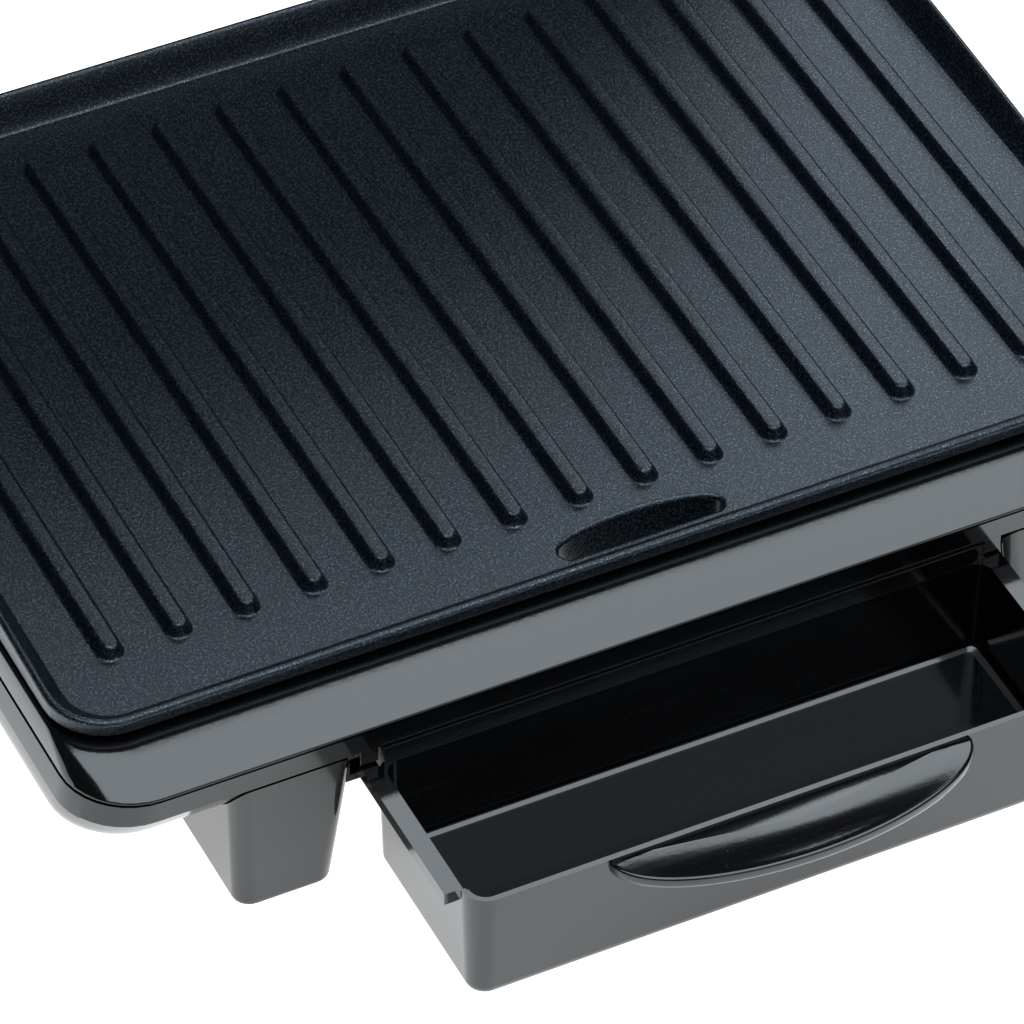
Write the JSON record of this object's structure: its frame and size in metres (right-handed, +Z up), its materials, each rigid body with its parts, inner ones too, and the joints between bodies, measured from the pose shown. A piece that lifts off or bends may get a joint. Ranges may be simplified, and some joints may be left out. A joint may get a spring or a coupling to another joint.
{
  "type": "panini press",
  "caption": "Contact grill with ribbed non-stick plates, a lid on a floating hinge shown raised, and a drip tray pulled out below the front.",
  "frame": {"origin": "on the table, at the centre of the object's box in X and Y", "axes": "+X to the user's right, +Y to the back, +Z up; the lid stands raised and the tray is pulled out"},
  "size_m": [0.3162, 0.407, 0.326],
  "materials": {
    "gloss_plastic": "glossy black moulded plastic",
    "satin_plastic": "satin black moulded plastic",
    "nonstick_coating": "cast aluminium with a dark speckled non-stick coating",
    "rubber": "black rubber",
    "bright_steel": "plain steel",
    "reflector_sheet": "bright aluminised sheet",
    "ceramic_body": "off-white ceramic",
    "red_lens": "clear red lens",
    "green_lens": "clear green lens"
  },
  "bodies": {
    "base": {"base_frame": "gloss_plastic", "base_screw_front_left": "bright_steel", "base_screw_front_right": "bright_steel", "base_screw_rear_left": "bright_steel", "base_screw_rear_right": "bright_steel", "base_shell": "gloss_plastic", "bottom_cover": "satin_plastic", "cord_gland": "rubber", "front_left_foot": "gloss_plastic", "front_left_foot_pad": "rubber", "front_right_foot": "gloss_plastic", "front_right_foot_pad": "rubber", "left_hinge_post": "satin_plastic", "left_tray_rail": "gloss_plastic", "lower_heater": "bright_steel", "lower_plate": "nonstick_coating", "lower_reflector": "reflector_sheet", "lower_thermostat": "ceramic_body", "rear_left_foot": "gloss_plastic", "rear_left_foot_pad": "rubber", "rear_right_foot": "gloss_plastic", "rear_right_foot_pad": "rubber", "right_hinge_post": "satin_plastic", "right_tray_rail": "gloss_plastic", "terminal_block": "ceramic_body", "thermal_fuse": "bright_steel"},
    "tray": {"drip_tray": "gloss_plastic"},
    "hinge_carriage": {"left_hinge_slider": "satin_plastic", "right_hinge_slider": "satin_plastic", "left_hinge_pin": "bright_steel", "right_hinge_pin": "bright_steel"},
    "lid": {"lid_frame": "gloss_plastic", "lid_cover": "gloss_plastic", "upper_plate": "nonstick_coating", "upper_heater": "bright_steel", "upper_reflector": "reflector_sheet", "upper_thermostat": "ceramic_body", "handle_bar": "satin_plastic", "left_arm": "gloss_plastic", "right_arm": "gloss_plastic", "left_handle_cap": "satin_plastic", "right_handle_cap": "satin_plastic", "power_lamp": "red_lens", "ready_lamp": "green_lens"},
    "release": {"hinge_release_button": "satin_plastic"}
  },
  "joints": [
    {"name": "tray_slide", "type": "slide", "parent": "base", "child": "tray", "axis": [0, -1, 0], "range_m": [-0.044, 0.003]},
    {"name": "hinge_lift", "type": "slide", "parent": "base", "child": "hinge_carriage", "axis": [0, 0, 1], "range_m": [0, 0.01]},
    {"name": "lid_hinge", "type": "hinge", "parent": "hinge_carriage", "child": "lid", "pos_m": [0, 0.10077, 0.064], "axis": [1, 0, 0], "range_deg": [-80, 100]},
    {"name": "release_push", "type": "slide", "parent": "lid", "child": "release", "axis": [-1, 0, 0], "range_m": [0, 0.0025], "stiffness_N_per_m": 300, "springref_m": -0.001}
  ]
}
